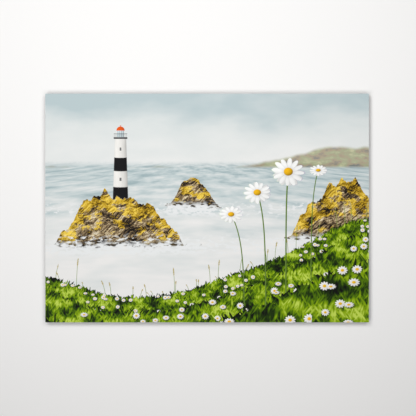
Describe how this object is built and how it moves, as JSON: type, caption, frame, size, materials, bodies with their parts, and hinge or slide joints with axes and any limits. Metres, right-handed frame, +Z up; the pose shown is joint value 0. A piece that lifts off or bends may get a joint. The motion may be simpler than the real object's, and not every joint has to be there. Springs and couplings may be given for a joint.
{
  "type": "frameless wall print",
  "caption": "Frameless rigid wall print: a thin aluminium composite panel with a printed coastal landscape, held off the wall by a hidden hanging frame of rails.",
  "frame": {"origin": "centre of the middle felt pad of the top rail, on the wall plane", "axes": "+X along the panel's width, to the right of someone looking at the printed face; +Y into the wall, at right angles to the panel; +Z up"},
  "size_m": [0.594, 0.0119, 0.42],
  "materials": {
    "printed_face": null,
    "panel_core": "black polyethylene core, showing as a dark line along the routed edge",
    "back_lacquer": "thin dark grey protective lacquer over rolled aluminium",
    "rail_aluminium": "mill-finish extrusion with fine lines along its length",
    "foam_tape": "dark grey acrylic foam bonding tape",
    "key_zinc": "dull die-cast zinc",
    "screw_steel": "black-oxide steel grub screw",
    "felt": "dark grey pressed felt"
  },
  "bodies": {
    "root": {"printed_skin": "printed_face", "panel_core": "panel_core", "back_skin": "back_lacquer", "rail_top": "rail_aluminium", "tape_top": "foam_tape", "rail_right": "rail_aluminium", "tape_right": "foam_tape", "rail_bottom": "rail_aluminium", "tape_bottom": "foam_tape", "rail_left": "rail_aluminium", "tape_left": "foam_tape", "corner_key_top_right": "key_zinc", "grub_screw_top_right_1": "screw_steel", "grub_screw_top_right_2": "screw_steel", "grub_screw_top_right_3": "screw_steel", "grub_screw_top_right_4": "screw_steel", "corner_key_bottom_right": "key_zinc", "grub_screw_bottom_right_1": "screw_steel", "grub_screw_bottom_right_2": "screw_steel", "grub_screw_bottom_right_3": "screw_steel", "grub_screw_bottom_right_4": "screw_steel", "corner_key_bottom_left": "key_zinc", "grub_screw_bottom_left_1": "screw_steel", "grub_screw_bottom_left_2": "screw_steel", "grub_screw_bottom_left_3": "screw_steel", "grub_screw_bottom_left_4": "screw_steel", "corner_key_top_left": "key_zinc", "grub_screw_top_left_1": "screw_steel", "grub_screw_top_left_2": "screw_steel", "grub_screw_top_left_3": "screw_steel", "grub_screw_top_left_4": "screw_steel", "pad_top_left": "felt", "pad_top_middle": "felt", "pad_top_right": "felt", "pad_bottom_left": "felt", "pad_bottom_middle": "felt", "pad_bottom_right": "felt"}
  },
  "joints": []
}
